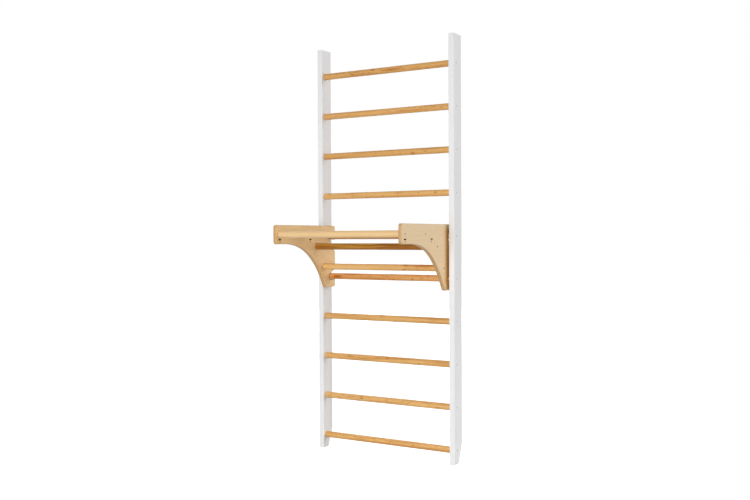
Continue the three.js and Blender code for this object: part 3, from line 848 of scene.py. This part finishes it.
plywoodPaint = makePlywood(*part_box("side_plate_right"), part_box("upright_right")[0].y)
for sideName, side in sides.items():
    node = "side_plate_" + sideName
    low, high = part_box(node)
    innerX, outerX = (low.x, high.x)[::side]
    holes = [socketHole(bar, bar + "_screw_" + sideName, barScrew, innerX, outerX, side)
             for bar in barNodes]
    slotGrids = slotHoles(low.x, high.x)
    outline = plateOutline(node)
    surface = slabSurface(
        outline, low.x, high.x, plate["edgeRadius"], holes + slotGrids, plate["rimSteps"])
    fields = plateFields(surface[0], outline, low, high, side, plate["tones"][sideName], slotGrids)
    addPiece(node, surface, plywoodPaint, "bar_unit", "plate_plywood", *fields)
print("side plates made")


# Grip bars and their screws, with settings as for the rungs; the two at the front are paler wood, and
# the rear upper bar's dark finish and deeper right end are dark heartwood and painted shade
gripWood = dict(
    seed=700, pith=(0.03, 0.09), tones=((-0.1, 0.05), (0.2, 0.2), (-0.06, 0.2), (-0.55, 0.1)),
    paints=(barPaint, barPaint, darkPineAndShadePaint, pinePaint),
    knots=((0.2, 170), (-0.1, 200), (0.3, 10), (0.16, 50)), knotSizes=(0.5, 0.5, 1.0, 0.9),
    stains=((-0.2, 170), (0.2, 200), (-0.03, 55), (0.26, 50)))

for number, bar in enumerate(barNodes):
    surface = barSurface(bar, bar + "_screw_right", barScrew)
    fields = barFields(bar, surface[0], gripWood["seed"] + number, gripWood, number)
    addPiece(bar, surface, gripWood["paints"][number], "bar_unit", "bar_wood", *fields)
    for sideName, side in sides.items():
        node = bar + "_screw_" + sideName
        addPiece(node, screwSurface(node, barScrew, side), yellowZincPaint, "bar_unit", "screw_zinc")
print("grip bars made:", len(barNodes))


# Camera at the photograph's viewpoint
shot = dict(
    position=(2.4322, -4.2571, 1.1674), yaw=30.79, pitch=-0.853, roll=-0.272, focalPixels=909.93,
    imageWidth=750, sensor=36.0, clipEnd=200)


def makeCamera():
    yaw, pitch, roll = (math.radians(shot[name]) for name in ("yaw", "pitch", "roll"))
    forward = Vector((
        -math.sin(yaw) * math.cos(pitch), math.cos(yaw) * math.cos(pitch), math.sin(pitch)))
    level = Vector((math.cos(yaw), math.sin(yaw), 0))
    above = level.cross(forward)
    right = math.cos(roll) * level + math.sin(roll) * above
    up = math.cos(roll) * above - math.sin(roll) * level
    data = bpy.data.cameras.new("photoCamera")
    data.sensor_width = shot["sensor"]
    data.lens = shot["focalPixels"] / shot["imageWidth"] * shot["sensor"]
    data.clip_end = shot["clipEnd"]
    camera = bpy.data.objects.new("photoCamera", data)
    turn = Matrix((right, up, -forward)).transposed()
    camera.matrix_world = Matrix.Translation(shot["position"]) @ turn.to_4x4()
    bpy.context.scene.collection.objects.link(camera)
    bpy.context.scene.camera = camera


# Softboxes aimed at a height over the floor; azimuth 0 is straight ahead of the rungs, 90 on their
# right. Level is what a white face turned to the lamp would send back, and far more where a spread
# narrows the beam.
softboxes = dict(
    front=dict(
        azimuth=4, elevation=4, distance=5.0, width=1.6, tall=1.6, aimHeight=0.95, level=0.615),
    rearRight=dict(
        azimuth=112, elevation=14, distance=10.0, width=8.0, tall=6.0, aimHeight=0.7, level=0.41),
    rearLeft=dict(
        azimuth=210, elevation=12, distance=10.0, width=5.0, tall=3.0, aimHeight=0.9, level=0.22),
    lowFront=dict(
        azimuth=4, elevation=30, distance=3.2, width=0.8, tall=0.6, aimHeight=-0.5, level=0.0137,
        spread=45),
    lowRight=dict(
        azimuth=112, elevation=30, distance=3.2, width=2.4, tall=0.6, aimHeight=-0.5, level=0.0125,
        spread=50))


# Power of a lamp from its level: level times pi squared times the distance squared
def addSoftbox(name, azimuth, elevation, distance, width, tall, aimHeight, level, spread=180):
    aim = Vector(((cadLow.x + cadHigh.x) / 2, (cadLow.y + cadHigh.y) / 2, aimHeight))
    a, e = math.radians(azimuth), math.radians(elevation)
    back = Vector((math.sin(a) * math.cos(e), -math.cos(a) * math.cos(e), math.sin(e)))
    data = bpy.data.lights.new(name + "Softbox", "AREA")
    data.shape = "RECTANGLE"
    data.size, data.size_y = width, tall
    data.spread = math.radians(spread)
    data.energy = level * math.pi ** 2 * distance ** 2
    lamp = bpy.data.objects.new(name + "Softbox", data)
    turn = back.to_track_quat("Z", "Y").to_matrix().to_4x4()
    lamp.matrix_world = Matrix.Translation(aim + back * distance) @ turn
    bpy.context.scene.collection.objects.link(lamp)


studio = dict(ambient=0.42, floorColour=(0.45, 0.45, 0.45, 1), floorGlow=1.0, floorHalf=30.0)


# 1 for the rays that should see a plain white background
def backgroundRay(tree):
    path = addNode(tree, "ShaderNodeLightPath").outputs
    straight = calc(tree, "MAXIMUM", path["Is Camera Ray"], path["Is Glossy Ray"])
    return calc(tree, "MAXIMUM", straight, path["Is Transmission Ray"])


def makeFloor():
    half = studio["floorHalf"]
    corner = np.array(((-1, -1), (1, -1), (1, 1), (-1, 1))) * half
    mesh = bpy.data.meshes.new("floor")
    mesh.from_pydata(np.column_stack((corner, np.full(4, cadLow.z))).tolist(), [], [(0, 1, 2, 3)])
    floor = bpy.data.objects.new("floor", mesh)
    bpy.context.scene.collection.objects.link(floor)
    material = bpy.data.materials.new("floorWhite")
    material.use_nodes = True
    tree = material.node_tree
    tree.nodes.clear()
    matt = addNode(tree, "ShaderNodeBsdfDiffuse", {"Color": studio["floorColour"]})
    glow = addNode(tree, "ShaderNodeEmission",
                   {"Strength": calc(tree, "MULTIPLY", backgroundRay(tree), studio["floorGlow"])})
    both = addNode(tree, "ShaderNodeAddShader", {0: matt.outputs[0], 1: glow.outputs[0]})
    addNode(tree, "ShaderNodeOutputMaterial", {"Surface": both.outputs[0]})
    mesh.materials.append(material)


def makeWorld():
    world = bpy.data.worlds.new("studio")
    bpy.context.scene.world = world
    world.use_nodes = True
    tree = world.node_tree
    tree.nodes.clear()
    lit = addNode(tree, "ShaderNodeBackground", {"Color": (1, 1, 1, 1), "Strength": studio["ambient"]})
    seen = addNode(tree, "ShaderNodeBackground", {"Color": (1, 1, 1, 1), "Strength": 1.0})
    mixed = addNode(tree, "ShaderNodeMixShader",
                    {0: backgroundRay(tree), 1: lit.outputs[0], 2: seen.outputs[0]})
    addNode(tree, "ShaderNodeOutputWorld", {"Surface": mixed.outputs[0]})


makeCamera()
makeFloor()
makeWorld()
for name, settings in softboxes.items():
    addSoftbox(name, **settings)
bpy.context.scene.view_settings.view_transform = "Standard"
print("camera, floor and lights made")
